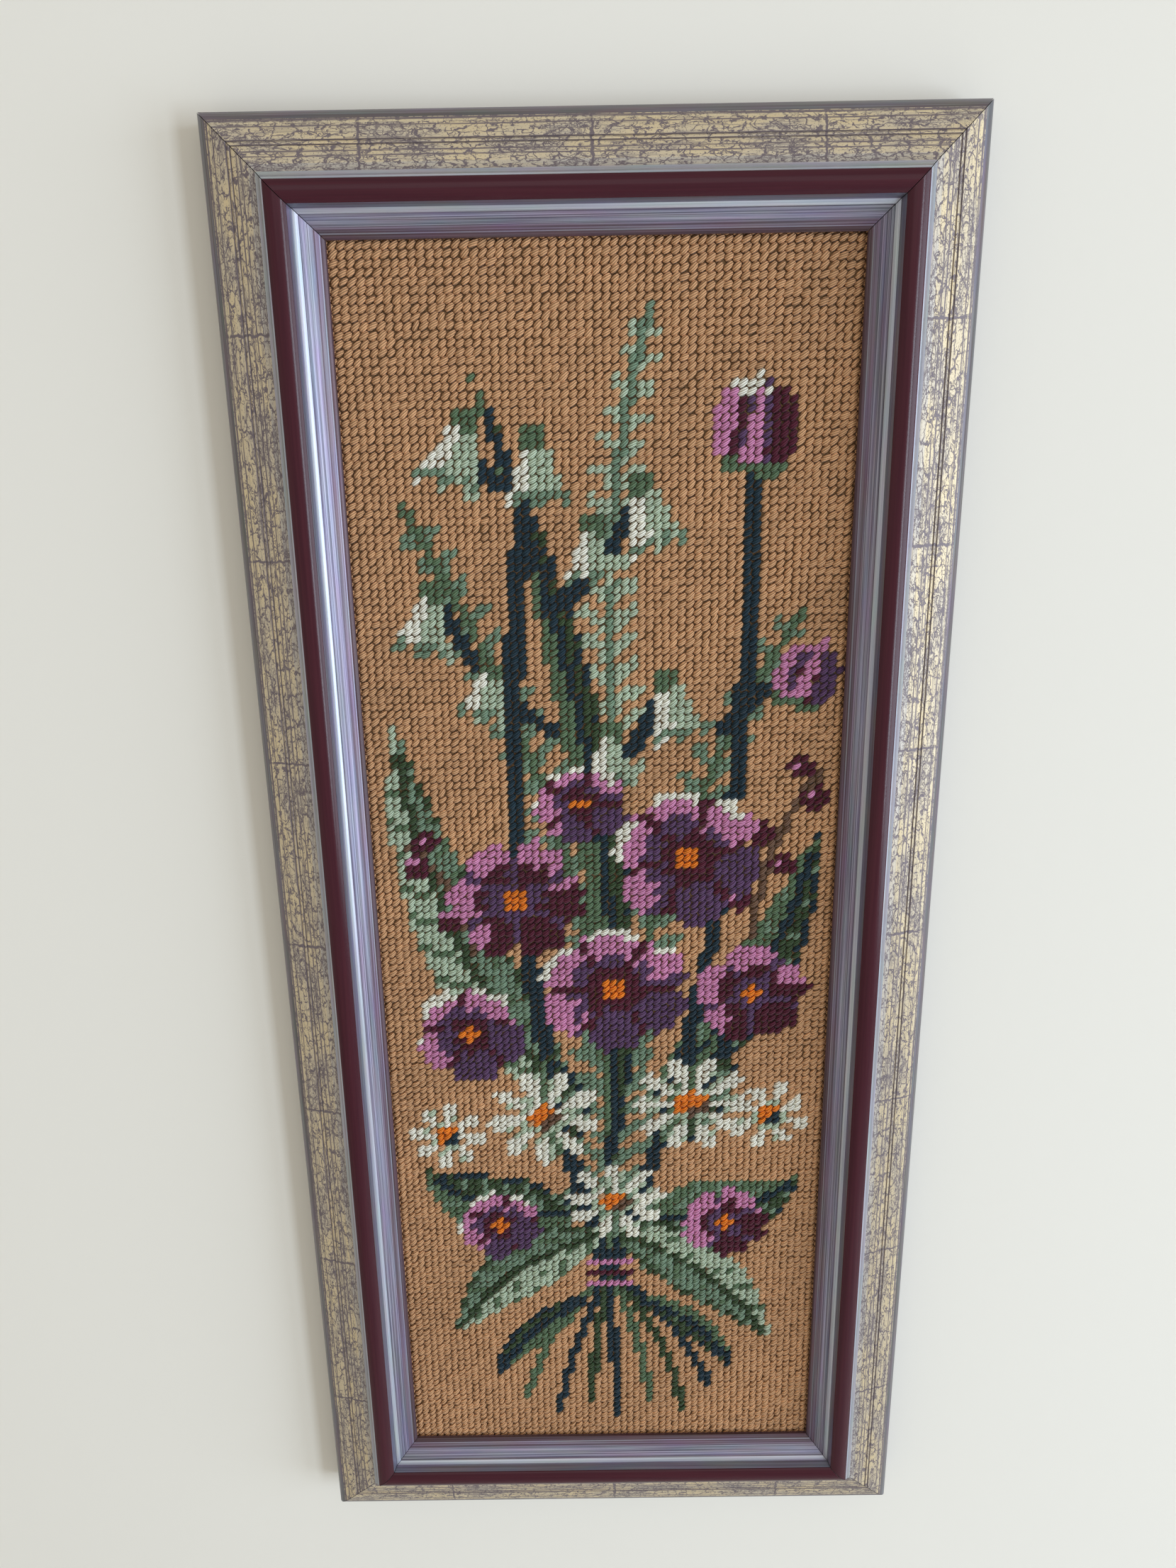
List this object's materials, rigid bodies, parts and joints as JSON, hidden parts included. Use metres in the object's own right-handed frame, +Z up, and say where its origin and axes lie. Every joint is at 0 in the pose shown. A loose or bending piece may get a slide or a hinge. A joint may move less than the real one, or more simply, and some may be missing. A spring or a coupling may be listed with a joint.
{
  "type": "framed tapestry",
  "caption": "Tall narrow canvas-work tapestry of a wool-stitched bouquet, held flat in a mitred moulded wooden frame with a backing board, for hanging on a wall.",
  "frame": {"origin": "the middle of the top rail's flat back face, where the frame meets the wall", "axes": "+X to the viewer's right, +Z up along the frame's height, +Y into the wall, so the stitched face looks along -Y"},
  "size_m": [0.2258, 0.0233, 0.5138],
  "materials": {
    "moulding": "wooden moulding with distressed champagne leaf, burgundy lacquer ridge and brushed grey-violet reeds",
    "wool": "tent-stitched wool yarn on canvas, matt",
    "backing": "plain brown hardboard"
  },
  "bodies": {
    "root": {"rail_top": "moulding", "rail_right": "moulding", "rail_bottom": "moulding", "rail_left": "moulding", "stitched_sheet": "wool", "backing_board": "backing"}
  },
  "joints": []
}
